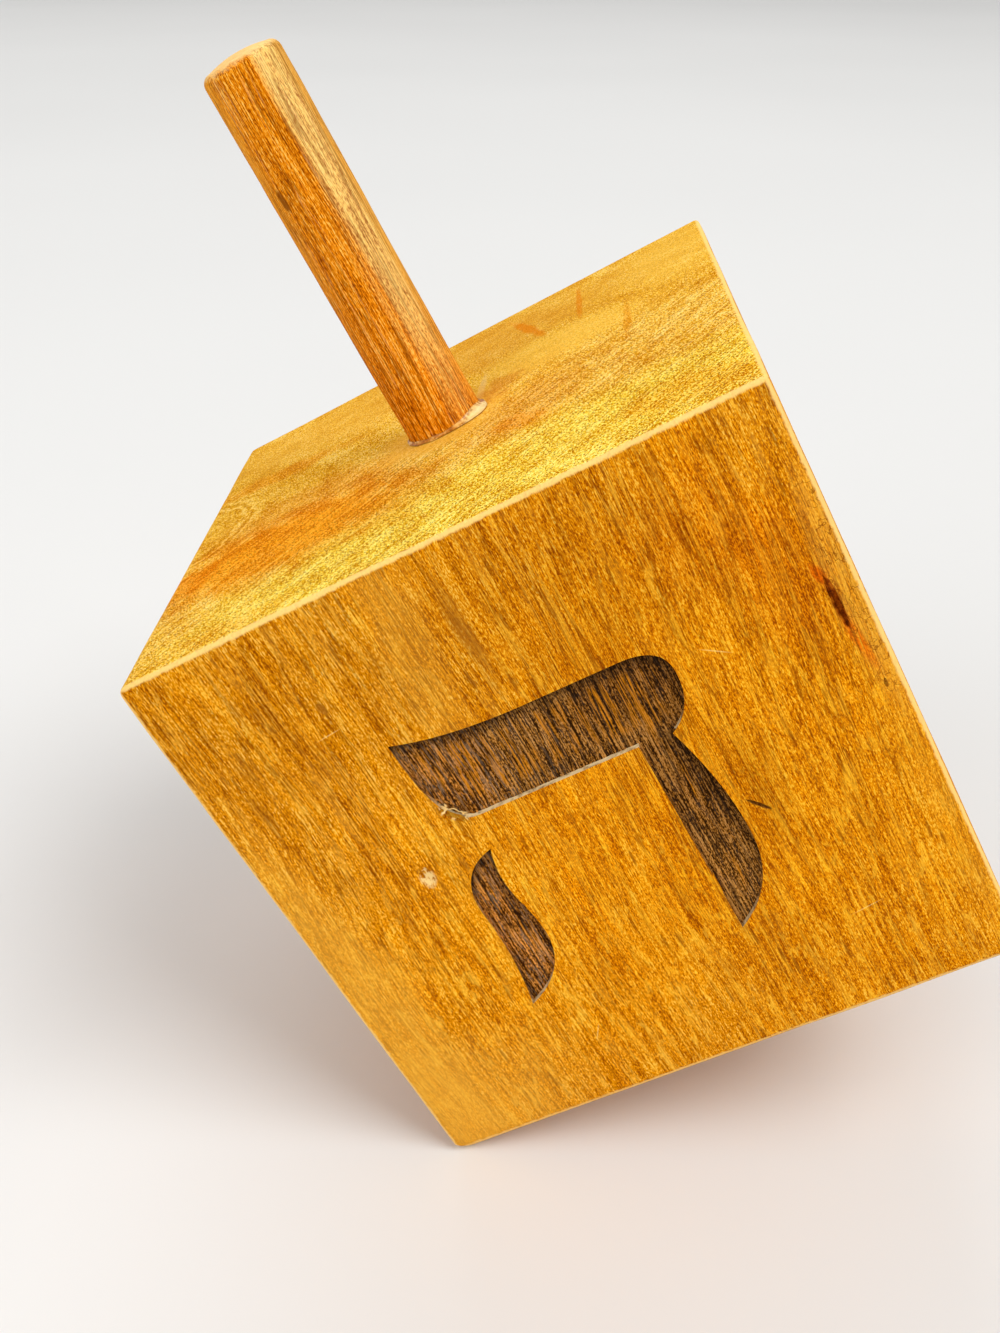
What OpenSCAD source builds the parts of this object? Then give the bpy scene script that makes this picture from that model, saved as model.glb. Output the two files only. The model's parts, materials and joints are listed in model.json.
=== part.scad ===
// A wooden dreidel, lying on one face of its point as it does after a spin.
// The spinning tip is at the origin, +Z is up from the table, the front letter faces -Y
// and the spinning axis leans towards -X.

/* [Block] */
// Width of the square block across two flat sides
block_w = 76; // [60:1:100]
// Height of the flat sides, from the shoulder of the point to the top
block_h = 77; // [60:1:100]
// Slope of the four faces of the point
point_slope = 28; // [20:1:40]
// Radius of the sanded edges
edge_r = 1.2; // [0.5:0.1:3]
// Radius of the blunted tip
tip_r = 2; // [0.5:0.1:4]

/* [Letters] */
// Height of the carved letters
letter_h = 40; // [25:1:48]
// Depth of the carving
letter_depth = 0.8; // [0.3:0.1:3]

/* [Handle] */
// Diameter of the handle
handle_d = 10; // [6:0.5:16]
// Length of the handle above the block, without its domed end
handle_l = 46.5; // [25:0.5:80]
// Radius of the eased rim at the free end
rim_r = 0.9; // [0.3:0.1:2]
// Height of the low dome inside that rim
dome_h = 0.6; // [0.2:0.1:2]
// Depth to which the handle is seated in the block
seat_depth = 25; // [12:1:45]
// How much thinner the seated end is sanded, on its radius
seat_step = 0.35; // [0.2:0.05:0.6]
// Chamfer on the seated end
seat_chamfer = 1; // [0.3:0.1:2]

/* [Glue] */
// Thickness of the glue film between the seated end and the bore
glue_film = 0.1; // [0.05:0.05:0.4]
// Thickness of the glue under the seated end
glue_pad = 0.5; // [0.2:0.1:2]
// Width of the bead round the handle's foot
bead_w = 1.2; // [0.5:0.1:3]
// Height of the bead up the handle
bead_h = 0.8; // [0.4:0.1:2]

/* [Hidden] */
$fn = 64;

half_w = block_w / 2;
point_h = half_w * tan(point_slope);
top_z = point_h + block_h;
handle_r = handle_d / 2;
seat_r = handle_r - seat_step;
bore_r = seat_r + glue_film;
bore_depth = seat_depth + glue_pad;
dome_r = handle_r - rim_r;
ease_steps = 5;
curve_steps = 8;
// How far a cutting shape runs past the face that it cuts
overcut = 5;

// The letters are drawn on a grid of this height, about the middle of the side.
// A knot [x, y] is followed by a straight edge, and a knot [x, y, cx, cy] by a curve
// that is drawn towards the point (cx, cy) on its way to the next knot.
letter_grid = 40;

hei = [
    [
        [-15, 19, -8, 16.8], [2, 17], [12, 17, 17, 17], [16.8, 13, 16.8, 8.6],
        [13.4, 6.6, 16, -2], [15.8, -9.5, 15.6, -17], [9.6, -21], [9.4, 6.7],
        [-10.2, 6.7, -15, 6.4]
    ],
    [
        [-11.4, 2, -16.6, 0.6], [-16.6, -5.5, -16, -13], [-17.6, -20.5, -11.4, -17.6],
        [-11.2, -11.6, -11.2, -8.8], [-12, -5.4, -12.6, -1.6]
    ]
];

gimel = [
    [
        [-9, 19, -4, 16.8], [3, 17, 9.6, 17], [9.4, 11, 8, 2], [10.2, -7, 12.4, -13],
        [11.6, -21, 7.6, -18], [5.2, -9, -1.6, -16], [-9.6, -20.6, -12.6, -17],
        [-11.8, -11, -4, -11.6], [3, -4.4, 3.6, 1], [2.6, 6.7], [-4.6, 6.7, -9, 6.4]
    ]
];

nun = [
    [
        [-9, 19, -4, 16.8], [3, 17, 9.8, 17], [9.6, 11, 8.8, 2], [10, -10, 10.4, -20.6],
        [3, -20.6], [-11, -20.6, -13, -14], [-9.6, -10.2], [3.6, -10.2, 3.8, 0],
        [2.8, 6.7], [-4.6, 6.7, -9, 6.4]
    ]
];

shin = [
    [
        [-18.6, 19, -15.6, 16.8], [-10, 17, -9, 11], [-11.6, 7, -10, 0], [-8.4, -9.4, -2, -4],
        [-2.4, 7.4, -5.4, 9.4], [-5.4, 19, -2.4, 16.8], [4, 17, 5, 11], [3, 6, 2, -6],
        [-5.4, -11.6], [1.6, -11.6, 11.6, -9], [11, 7.4, 8.2, 9.4], [8, 19, 11, 16.8],
        [17, 17, 19.6, 11], [17, 6, 18.4, -19.6], [2, -19.6], [-13, -19.6, -16, -19.6],
        [-15, -15, -14, -2], [-16.4, 7, -18.6, 9.4]
    ]
];

// In turn: the front (-Y), the right, the back and the left side
side_letters = [hei, gimel, nun, shin];

// Points of a closed outline, from its knots
function trace(knots) = [
    for (i = [0 : len(knots) - 1])
        let (a = knots[i], b = knots[(i + 1) % len(knots)])
            each len(a) == 2 ? [a] : [
                for (s = [0 : curve_steps - 1])
                    let (t = s / curve_steps)
                        (1 - t) ^ 2 * [a[0], a[1]] + 2 * t * (1 - t) * [a[2], a[3]] + t ^ 2 * [b[0], b[1]]
            ]
];

// A convex outline, counterclockwise, with each corner rounded to its own radius
function eased(corners, radii) = [
    for (i = [0 : len(corners) - 1])
        let (
            count = len(corners),
            p = corners[i],
            before = p - corners[(i + count - 1) % count],
            after = corners[(i + 1) % count] - p,
            start = atan2(-before[0], before[1]),
            turn = (atan2(-after[0], after[1]) - start + 360) % 360,
            mid = start + turn / 2,
            centre = p - radii[i] / cos(turn / 2) * [cos(mid), sin(mid)]
        )
        for (s = [0 : ease_steps])
            let (a = start + turn * s / ease_steps)
                centre + radii[i] * [cos(a), sin(a)]
];

// Turns the upright top onto one face of its point
module lean() {
    rotate([0, -point_slope, 0])
        children();
}

// Section of the block and its point, seen from the side
module side_profile() {
    polygon(eased(
        [[0, 0], [half_w, point_h], [half_w, top_z], [-half_w, top_z], [-half_w, point_h]],
        [tip_r, edge_r, edge_r, edge_r, edge_r]
    ));
}

// The profile carried right through the block, across one pair of sides
module side_prism() {
    rotate([90, 0, 0])
        linear_extrude(height = 2 * block_w, center = true)
            side_profile();
}

// The square of the block, with its upright edges eased
module square_prism() {
    linear_extrude(height = top_z + overcut)
        polygon(eased(
            [[-half_w, -half_w], [half_w, -half_w], [half_w, half_w], [-half_w, half_w]],
            [edge_r, edge_r, edge_r, edge_r]
        ));
}

// One letter, standing upright and cut into the front side
module letter_cut(outlines) {
    translate([0, -half_w + letter_depth, point_h + block_h / 2])
        rotate([90, 0, 0])
            linear_extrude(height = letter_depth + overcut)
                scale(letter_h / letter_grid)
                    for (knots = outlines)
                        polygon(trace(knots));
}

module block() {
    color("peru")
        lean()
            difference() {
                intersection() {
                    side_prism();
                    rotate([0, 0, 90])
                        side_prism();
                    square_prism();
                }
                translate([0, 0, top_z - bore_depth])
                    cylinder(r = bore_r, h = bore_depth + overcut);
                for (i = [0 : len(side_letters) - 1])
                    rotate([0, 0, 90 * i])
                        letter_cut(side_letters[i]);
            }
}

// Half section of the handle, with the block's top at height 0
function handle_section() = concat(
    [
        [0, -seat_depth], [seat_r - seat_chamfer, -seat_depth], [seat_r, -seat_depth + seat_chamfer],
        [seat_r, bead_h], [handle_r, bead_h]
    ],
    [
        for (s = [0 : ease_steps])
            let (a = 90 * s / ease_steps)
                [dome_r + rim_r * cos(a), handle_l + rim_r * sin(a)]
    ],
    [
        for (s = [1 : ease_steps])
            let (x = 1 - s / ease_steps)
                [dome_r * x, handle_l + rim_r + dome_h * (1 - x ^ 2)]
    ]
);

module handle() {
    color("chocolate")
        lean()
            translate([0, 0, top_z])
                rotate_extrude()
                    polygon(handle_section());
}

// Half section of the glue, with a hollow bead from the block's top up to the handle
function glue_section() = concat(
    [[0, -bore_depth], [bore_r, -bore_depth], [bore_r, 0]],
    [
        for (s = [0 : ease_steps])
            let (a = 90 * s / ease_steps)
                [handle_r + bead_w * (1 - sin(a)), bead_h * (1 - cos(a))]
    ],
    [
        [seat_r, bead_h], [seat_r, -seat_depth + seat_chamfer],
        [seat_r - seat_chamfer, -seat_depth], [0, -seat_depth]
    ]
);

module glue() {
    color("wheat")
        lean()
            translate([0, 0, top_z])
                rotate_extrude()
                    polygon(glue_section());
}

block();
handle();
glue();
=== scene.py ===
import json
import math
import bmesh
import bpy
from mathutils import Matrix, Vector, kdtree, noise


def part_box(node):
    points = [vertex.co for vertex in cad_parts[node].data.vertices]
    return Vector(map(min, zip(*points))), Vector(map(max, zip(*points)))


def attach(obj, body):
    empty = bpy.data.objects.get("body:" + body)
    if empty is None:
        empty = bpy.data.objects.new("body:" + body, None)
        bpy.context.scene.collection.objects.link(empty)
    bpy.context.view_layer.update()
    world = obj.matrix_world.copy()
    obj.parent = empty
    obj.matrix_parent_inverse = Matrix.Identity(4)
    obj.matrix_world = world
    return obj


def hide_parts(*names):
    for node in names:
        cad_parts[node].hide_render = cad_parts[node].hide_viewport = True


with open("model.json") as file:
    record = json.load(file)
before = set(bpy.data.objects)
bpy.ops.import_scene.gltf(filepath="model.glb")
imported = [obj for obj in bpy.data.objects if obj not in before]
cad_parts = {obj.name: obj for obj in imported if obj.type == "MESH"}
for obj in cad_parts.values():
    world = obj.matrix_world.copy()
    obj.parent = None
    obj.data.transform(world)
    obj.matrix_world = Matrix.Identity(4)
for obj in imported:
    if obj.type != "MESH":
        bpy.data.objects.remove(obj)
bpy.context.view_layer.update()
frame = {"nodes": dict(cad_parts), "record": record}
print("frame loaded:", ", ".join(sorted(frame["nodes"])))

# sizes of the solid model, read from the frame, in metres
mounts = {mount["name"]: mount for mount in frame["record"]["mounts"]}
grip = mounts["handle_end"]
spinAxis = Vector(grip["axis"]).normalized()
lean = math.atan2(-spinAxis.x, spinAxis.z)  # how far the top leans over, resting on its point
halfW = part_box("block")[1][1]
pointH = halfW * math.tan(lean)
handleR = grip["dims"]["r_mm"] / 1000
gripLen = grip["dims"]["length_mm"] / 1000
gripStart = Vector(grip["pos_m"]).dot(spinAxis) - gripLen / 2

# the handle's glue, as the solid model has it
glueShape = {
    "rise": 0.0008,        # height of the bead up the handle
    "boreR": 0.00475,
    "boreDepth": 0.0255,
    "beadSteps": 6,
    "turns": 96,
    "thin": 0.00035,       # width of the bead where it is thinnest
    "low": 0.35,           # share of the full rise where it is lowest
    "blob": 0.0011,        # extra width where the glue ran out
    "blobTurn": -28,       # degrees from the right-hand side, towards the back
    "blobSpread": 30,
    "ripple": 0.00018,     # how far the bead's width wavers
    "rippleScale": 900,    # waves per metre
    "rippleSeed": 3,
    "rippleLift": 0.15,    # share of the rise that wavers too
    "smooth": 60,          # degrees, below which an edge is shaded smooth
}
topZ = gripStart - glueShape["rise"]
midZ = (pointH + topZ) / 2


# modelling helpers
weldGap = 1e-7   # metres between points that are merged
slack = 1e-6     # metres by which a place may miss


def deselect():
    active = bpy.context.view_layer.objects.active
    if active and active.mode != "OBJECT":
        bpy.ops.object.mode_set(mode="OBJECT")
    bpy.ops.object.select_all(action="DESELECT")


def focus(piece):
    deselect()
    piece.select_set(True)
    bpy.context.view_layer.objects.active = piece


def added(name):
    piece = bpy.context.object
    piece.name = name
    piece.data.name = name
    return piece


def edit(piece, mode):
    focus(piece)
    bpy.ops.object.mode_set(mode="EDIT")
    bpy.ops.mesh.select_mode(type=mode)


def pick(piece, kind, test):
    bpy.ops.mesh.select_all(action="DESELECT")
    mesh = bmesh.from_edit_mesh(piece.data)
    for item in getattr(mesh, kind):
        if test(item):
            item.select_set(True)
    bmesh.update_edit_mesh(piece.data)


def settle(piece):
    focus(piece)
    bpy.ops.object.transform_apply(location=True, rotation=True, scale=True)


def modify(piece, kind, **settings):
    modifier = piece.modifiers.new(kind.lower(), kind)
    for name, value in settings.items():
        setattr(modifier, name, value)
    focus(piece)
    bpy.ops.object.modifier_apply(modifier=modifier.name)


def combine(piece, other, operation):
    modify(piece, "BOOLEAN", object=other, operation=operation, solver="MANIFOLD")
    bpy.data.objects.remove(other, do_unlink=True)


def closeUp(piece):
    edit(piece, "VERT")
    bpy.ops.mesh.select_all(action="SELECT")
    bpy.ops.mesh.remove_doubles(threshold=weldGap)
    bpy.ops.mesh.normals_make_consistent(inside=False)
    deselect()


def sandByHand(piece, depth, size):
    clouds = bpy.data.textures.new(piece.name + "Sanding", "CLOUDS")
    clouds.noise_scale = size
    modify(piece, "DISPLACE", texture=clouds, texture_coords="LOCAL", strength=depth, mid_level=1.0)


def layDown(piece, smoothAngle):
    piece.rotation_euler = (0, -lean, 0)
    settle(piece)
    bpy.ops.object.shade_smooth_by_angle(angle=math.radians(smoothAngle))


# a closed half section, given as (radius, height) pairs, spun round the spinning axis
def lathe(name, section, turns):
    deselect()
    bpy.ops.mesh.primitive_plane_add(size=0.001)
    piece = added(name)
    edit(piece, "VERT")
    bpy.ops.mesh.select_all(action="SELECT")
    bpy.ops.mesh.merge(type="CENTER")
    bpy.ops.transform.translate(value=(section[0][0], 0, section[0][1]))
    for (r0, z0), (r1, z1) in zip(section, section[1:]):
        bpy.ops.mesh.extrude_vertices_move(TRANSFORM_OT_translate={"value": (r1 - r0, 0, z1 - z0)})
    bpy.ops.mesh.select_all(action="SELECT")
    bpy.ops.mesh.spin(steps=turns, angle=math.tau, center=(0, 0, 0), axis=(0, 0, 1))
    closeUp(piece)
    return piece


# the block: a cube with its point drawn out of the same wood
blockShape = {
    "edge": 0.0013,           # widest rounding of the sanded edges
    "topEdges": 0.55,         # share of that rounding on the edges round the top
    "uprightEdges": 0.62,
    "pointEdges": 0.85,
    "leftEdge": 1.0,
    "edgeSteps": 5,
    "longEdge": 4,            # edges longer than so many roundings are cut
    "cuts": 30,               # the faces are cut into a grid, so that the sanding can wander
    "sanding": 0.00022,
    "sandingSize": 0.016,
    "smooth": 38,
}
downward = -0.9               # a face whose normal points lower than this looks down


def edgeWeight(start, end):
    low, high = sorted((start.z, end.z))
    if low > midZ:
        leftmost = max(start.x, end.x) < 0  # this edge stands furthest out once the top leans over
        return blockShape["leftEdge"] if leftmost else blockShape["topEdges"]
    if high > midZ:
        return blockShape["uprightEdges"]
    return blockShape["pointEdges"]


def makeBlock():
    deselect()
    size = (2 * halfW, 2 * halfW, topZ - pointH)
    bpy.ops.mesh.primitive_cube_add(size=1, location=(0, 0, midZ), scale=size)
    block = added("carvedBlock")
    settle(block)
    edit(block, "FACE")
    pick(block, "faces", lambda face: face.normal.z < downward)
    bpy.ops.mesh.extrude_region_move(TRANSFORM_OT_translate={"value": (0, 0, -pointH)})
    bpy.ops.mesh.merge(type="CENTER")
    deselect()
    mesh = block.data
    weights = mesh.attributes.new("bevel_weight_edge", "FLOAT", "EDGE")
    for edge in mesh.edges:
        start, end = (mesh.vertices[i].co for i in edge.vertices)
        weights.data[edge.index].value = edgeWeight(start, end)
    modify(block, "BEVEL", width=blockShape["edge"], segments=blockShape["edgeSteps"], limit_method="WEIGHT")
    edit(block, "EDGE")
    pick(block, "edges", lambda edge: edge.calc_length() > blockShape["longEdge"] * blockShape["edge"])
    bpy.ops.mesh.subdivide(number_cuts=blockShape["cuts"])
    deselect()
    sandByHand(block, blockShape["sanding"], blockShape["sandingSize"])
    return block


def drill(block):
    deselect()
    depth = 2 * glueShape["boreDepth"]
    bpy.ops.mesh.primitive_cylinder_add(
        vertices=glueShape["turns"], radius=glueShape["boreR"], depth=depth, location=(0, 0, topZ))
    combine(block, added("bore"), "DIFFERENCE")


# the carved letters, drawn on the solid model's grid in millimetres from the middle of a side:
# a knot (x, y) is followed by a straight edge, a knot (x, y, cx, cy) by a curve towards (cx, cy)
letterShape = {
    "depth": 0.0008,
    "ridge": 0.00014,          # height of the ridges that the cutter left along the grain
    "ridgeWidth": 0.00045,
    "ridgeLength": 0.012,
    "fineShare": 0.7,          # the fine ridges ride on broad ones, of so many times the width and length
    "broadShare": 0.5,
    "broadWidth": 4,
    "broadLength": 2,
    "broadSeed": 7,
    "seedStep": 31.0,          # each letter has ridges of its own
    "patch": (0.041, 0.045),   # width and height of the ridged floor that a letter is cut from
    "patchCuts": (200, 46),
    "reach": 0.003,            # how far a cutter stands out of the block
    "smoothness": 10,
    "hei": [
        [(-15, 19, -8, 16.8), (2, 17), (12, 17, 17, 17), (16.8, 13, 16.8, 8.6), (13.4, 6.6, 16, -2),
         (15.8, -9.5, 15.6, -17), (9.6, -21), (9.4, 6.7), (-10.2, 6.7, -15, 6.4)],
        [(-11.4, 2, -16.6, 0.6), (-16.6, -5.5, -16, -13), (-17.6, -20.5, -11.4, -17.6),
         (-11.2, -11.6, -11.2, -8.8), (-12, -5.4, -12.6, -1.6)],
    ],
    "gimel": [
        [(-9, 19, -4, 16.8), (3, 17, 9.6, 17), (9.4, 11, 8, 2), (10.2, -7, 12.4, -13), (11.6, -21, 7.6, -18),
         (5.2, -9, -1.6, -16), (-9.6, -20.6, -12.6, -17), (-11.8, -11, -4, -11.6), (3, -4.4, 3.6, 1),
         (2.6, 6.7), (-4.6, 6.7, -9, 6.4)],
    ],
    "nun": [
        [(-9, 19, -4, 16.8), (3, 17, 9.8, 17), (9.6, 11, 8.8, 2), (10, -10, 10.4, -20.6), (3, -20.6),
         (-11, -20.6, -13, -14), (-9.6, -10.2), (3.6, -10.2, 3.8, 0), (2.8, 6.7), (-4.6, 6.7, -9, 6.4)],
    ],
    "shin": [
        [(-18.6, 19, -15.6, 16.8), (-10, 17, -9, 11), (-11.6, 7, -10, 0), (-8.4, -9.4, -2, -4),
         (-2.4, 7.4, -5.4, 9.4), (-5.4, 19, -2.4, 16.8), (4, 17, 5, 11), (3, 6, 2, -6), (-5.4, -11.6),
         (1.6, -11.6, 11.6, -9), (11, 7.4, 8.2, 9.4), (8, 19, 11, 16.8), (17, 17, 19.6, 11),
         (17, 6, 18.4, -19.6), (2, -19.6), (-13, -19.6, -16, -19.6), (-15, -15, -14, -2),
         (-16.4, 7, -18.6, 9.4)],
    ],
}
sideLetters = ["hei", "gimel", "nun", "shin"]  # the front, then round to the right, the back and the left
frontY = -halfW
curveShare = 2 / 3   # how far along to a curve's one pull the two handles of its spline stand


def letterPrism(name):
    curve = bpy.data.curves.new(name, "CURVE")
    curve.dimensions = "2D"
    curve.fill_mode = "BOTH"
    curve.extrude = letterShape["reach"]
    curve.resolution_u = letterShape["smoothness"]
    for knots in letterShape[name]:
        spline = curve.splines.new("BEZIER")
        spline.bezier_points.add(len(knots) - 1)
        spline.use_cyclic_u = True
        for i, knot in enumerate(knots):
            after = knots[(i + 1) % len(knots)]
            here = Vector((knot[0], knot[1], 0)) / 1000
            there = Vector((after[0], after[1], 0)) / 1000
            pull = Vector((knot[2], knot[3], 0)) / 1000 if len(knot) == 4 else (here + there) / 2
            point = spline.bezier_points[i]
            follower = spline.bezier_points[(i + 1) % len(knots)]
            point.co = here
            point.handle_right_type = "FREE"
            follower.handle_left_type = "FREE"
            point.handle_right = here.lerp(pull, curveShare)
            follower.handle_left = there.lerp(pull, curveShare)
    outline = bpy.data.objects.new(name + "Cutter", curve)
    bpy.context.collection.objects.link(outline)
    focus(outline)
    bpy.ops.object.convert(target="MESH")
    prism = bpy.context.object
    prism.rotation_euler = (math.pi / 2, 0, 0)
    prism.location = (0, frontY, midZ)
    settle(prism)
    closeUp(prism)
    return prism


# a slab whose inner side is ridged along the grain, as the floor of a letter is
def ridgedSlab(seed):
    deselect()
    across, up = letterShape["patchCuts"]
    bpy.ops.mesh.primitive_grid_add(x_subdivisions=across, y_subdivisions=up, size=1)
    slab = added("ridgedSlab")
    slab.scale = (*letterShape["patch"], 1)
    slab.rotation_euler = (math.pi / 2, 0, 0)
    slab.location = (0, frontY + letterShape["depth"], midZ)
    settle(slab)
    wide, long = letterShape["ridgeWidth"], letterShape["ridgeLength"]
    for vertex in slab.data.vertices:
        x, z = vertex.co.x, vertex.co.z
        fine = noise.noise((x / wide, seed, z / long))
        acrossBroad, alongBroad = x / wide / letterShape["broadWidth"], z / long / letterShape["broadLength"]
        broad = noise.noise((acrossBroad, seed + letterShape["broadSeed"], alongBroad))
        rise = letterShape["fineShare"] * fine + letterShape["broadShare"] * broad
        vertex.co.y += letterShape["ridge"] * rise
    edit(slab, "FACE")
    bpy.ops.mesh.select_all(action="SELECT")
    bpy.ops.mesh.extrude_region_move(TRANSFORM_OT_translate={"value": (0, -letterShape["reach"], 0)})
    closeUp(slab)
    return slab


def carveLetters(block):
    for side, name in enumerate(sideLetters):
        cutter = letterPrism(name)
        combine(cutter, ridgedSlab(side * letterShape["seedStep"]), "INTERSECT")
        cutter.rotation_euler = (0, 0, side * math.pi / 2)
        settle(cutter)
        combine(block, cutter, "DIFFERENCE")
        print("carved", name)


# dents and flaws of the wood, in millimetres from the middle of a side: place, half sizes, turn in degrees
markShape = {
    "steps": 3,
    "roughness": 0.30,        # how ragged the outlines are, as a share of the size
    "grit": 1.6,
    "chip": {"side": 0, "place": (-19.8, 1.7), "half": (0.95, 1.45, 0.40), "turn": 8, "seed": 3},
    "dent": {"side": 0, "place": (-19.0, 26.4), "half": (0.45, 0.95, 0.30), "turn": -12, "seed": 11},
    "gouge": {"side": 0, "place": (18.0, -6.0), "half": (0.24, 1.55, 0.30), "turn": -41, "seed": 5},
    "pocket": {"side": 0, "place": (34.8, 13.2), "half": (0.46, 3.40, 0.80), "turn": -1, "seed": 21},
    "pit": {"side": 0, "place": (35.9, 2.2), "half": (0.20, 0.60, 0.30), "turn": 6, "seed": 8},
    "flake": {"side": 0, "place": (-12.9, 8.1), "half": (0.75, 1.70, 0.50), "turn": -42, "seed": 14},
}
markNames = ["chip", "dent", "gouge", "pocket", "pit", "flake"]


def markCutter(mark):
    deselect()
    bpy.ops.mesh.primitive_ico_sphere_add(subdivisions=markShape["steps"], radius=1)
    cutter = added("markCutter")
    for vertex in cutter.data.vertices:
        way = vertex.co.normalized()
        ragged = noise.noise(way * markShape["grit"] + Vector((mark["seed"], 0, 0)))
        vertex.co = way * (1 + markShape["roughness"] * ragged)
    wide, tall, deep = (half / 1000 for half in mark["half"])
    cutter.scale = (wide, deep, tall)
    cutter.rotation_euler = (0, math.radians(mark["turn"]), 0)
    cutter.location = (mark["place"][0] / 1000, frontY, midZ + mark["place"][1] / 1000)
    settle(cutter)
    cutter.rotation_euler = (0, 0, mark["side"] * math.pi / 2)
    settle(cutter)
    return cutter


def cutMarks(block):
    for name in markNames:
        combine(block, markCutter(markShape[name]), "DIFFERENCE")


# how far each point in a letter lies from the outline, and how well the wall there is lit, for the stain and
# for the painted shade and painted light on the letters' walls and rims
rimShape = {
    "reach": 0.004,
    "letterReach": 0.012,    # no part of a letter's floor is further than this from its outline
    "wallGap": 0.0002,
    "floorSlope": 0.7,       # a face that looks out more than this is a floor
    "wallSlope": 0.6,        # and one that looks out less than this is a wall
    "floorDepth": 0.6,       # a floor lies below this share of the depth
    "traceSteps": 4,         # points of the traced outline for each step of the cutter's
}
litWay = Vector((0.2, 0.98))   # towards the light that the walls catch


def outlinePoints(name):
    steps = letterShape["smoothness"] * rimShape["traceSteps"]
    for knots in letterShape[name]:
        trail = []
        for i, knot in enumerate(knots):
            here = Vector(knot[:2]) / 1000
            there = Vector(knots[(i + 1) % len(knots)][:2]) / 1000
            pull = Vector(knot[2:]) / 1000 if len(knot) == 4 else (here + there) / 2
            for step in range(steps):
                share = step / steps
                trail.append(here.lerp(pull, share).lerp(pull.lerp(there, share), share))
        area = sum(a.cross(b) for a, b in zip(trail, trail[1:] + trail[:1]))
        for i, point in enumerate(trail):
            along = (trail[(i + 1) % len(trail)] - trail[i - 1]).normalized()
            inward = Vector((along.y, -along.x)) * (-1 if area > 0 else 1)
            yield point, inward.dot(litWay)


def markRims(block):
    mesh = block.data
    gap = mesh.attributes.new("rimGap", "FLOAT", "POINT")
    facing = mesh.attributes.new("wallLit", "FLOAT", "POINT")
    carved = mesh.attributes.new("carved", "FLOAT", "FACE")  # 1 on the floor of a letter, 0.5 on its walls
    for side, name in enumerate(sideLetters):
        points = list(outlinePoints(name))
        tree = kdtree.KDTree(len(points))
        for i, (point, _) in enumerate(points):
            tree.insert((point.x, point.y, 0), i)
        tree.balance()
        turn = side * math.pi / 2
        across = Vector((math.cos(turn), math.sin(turn), 0))
        outward = Vector((math.sin(turn), -math.cos(turn), 0))
        for vertex in mesh.vertices:
            if vertex.co.dot(outward) > halfW - 2 * letterShape["depth"]:
                flat = (vertex.co.dot(across), vertex.co.z - midZ, 0)
                _, index, away = tree.find(flat)
                gap.data[vertex.index].value = min(away, rimShape["reach"]) * 1000
                facing.data[vertex.index].value = points[index][1]
        for face in mesh.polygons:
            deep = halfW - face.center.dot(outward)
            middle = (face.center.dot(across), face.center.z - midZ, 0)
            away = tree.find(middle)[2]
            if 0 < deep < 2 * letterShape["depth"] and away < rimShape["letterReach"]:
                slope = face.normal.dot(outward)
                if slope > rimShape["floorSlope"] and deep > rimShape["floorDepth"] * letterShape["depth"]:
                    carved.data[face.index].value = 1.0
                elif slope < rimShape["wallSlope"] and away < rimShape["wallGap"]:
                    carved.data[face.index].value = 0.5


block = makeBlock()
drill(block)
carveLetters(block)
cutMarks(block)
markRims(block)
layDown(block, blockShape["smooth"])
print("block:", len(block.data.polygons), "faces")

# the handle: a dowel whose free end was rounded by hand
handleShape = {
    "seatR": 0.00465,
    "seatDepth": 0.025,
    "foot": 0.00005,         # the thickness of glue under the handle's shoulder
    "seatChamfer": 0.001,
    "cap": 0.0015,           # height of the rounded end beyond the straight part
    "rim": 0.0013,
    "dome": 0.0005,
    "rimSteps": 5,
    "domeSteps": 5,
    "ring": 0.0016,          # spacing of the rings along the handle
    "turns": 96,
    "sanding": 0.00016,
    "sandingSize": 0.009,
    "smooth": 40,
}
footZ = topZ + handleShape["foot"]


def handleSection():
    seatR, chamfer = handleShape["seatR"], handleShape["seatChamfer"]
    rim, dome = handleShape["rim"], handleShape["dome"]
    seatZ = topZ - handleShape["seatDepth"]
    endZ = gripStart + gripLen + handleShape["cap"] - rim - dome
    domeR = handleR - rim
    section = [(0, seatZ), (seatR - chamfer, seatZ), (seatR, seatZ + chamfer), (seatR, footZ)]
    rings = round((endZ - footZ) / handleShape["ring"])
    section += [(handleR, footZ + (endZ - footZ) * i / rings) for i in range(rings + 1)]
    for i in range(1, handleShape["rimSteps"] + 1):
        turn = math.pi / 2 * i / handleShape["rimSteps"]
        section.append((domeR + rim * math.cos(turn), endZ + rim * math.sin(turn)))
    for i in range(1, handleShape["domeSteps"] + 1):
        share = 1 - i / handleShape["domeSteps"]
        section.append((domeR * share, endZ + rim + dome * (1 - share ** 2)))
    return section


handle = lathe("turnedHandle", handleSection(), handleShape["turns"])
sandByHand(handle, handleShape["sanding"], handleShape["sandingSize"])
layDown(handle, handleShape["smooth"])
print("handle:", len(handle.data.polygons), "faces")


# the glue: a film in the bore, with the bead that was pressed out round the handle's foot
def glueSection():
    seatR, chamfer = handleShape["seatR"], handleShape["seatChamfer"]
    boreR, boreZ = glueShape["boreR"], topZ - glueShape["boreDepth"]
    seatZ = topZ - handleShape["seatDepth"]
    section = [(0, boreZ), (boreR, boreZ), (boreR, topZ)]
    for i in range(glueShape["beadSteps"] + 1):
        turn = math.pi / 2 * i / glueShape["beadSteps"]
        width = glueShape["thin"] * (1 - math.sin(turn))
        section.append((handleR + width, topZ + glueShape["rise"] * (1 - math.cos(turn))))
    section += [(handleR, footZ), (seatR, footZ), (seatR, seatZ + chamfer)]
    section += [(seatR - chamfer, seatZ), (0, seatZ)]
    return section


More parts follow.
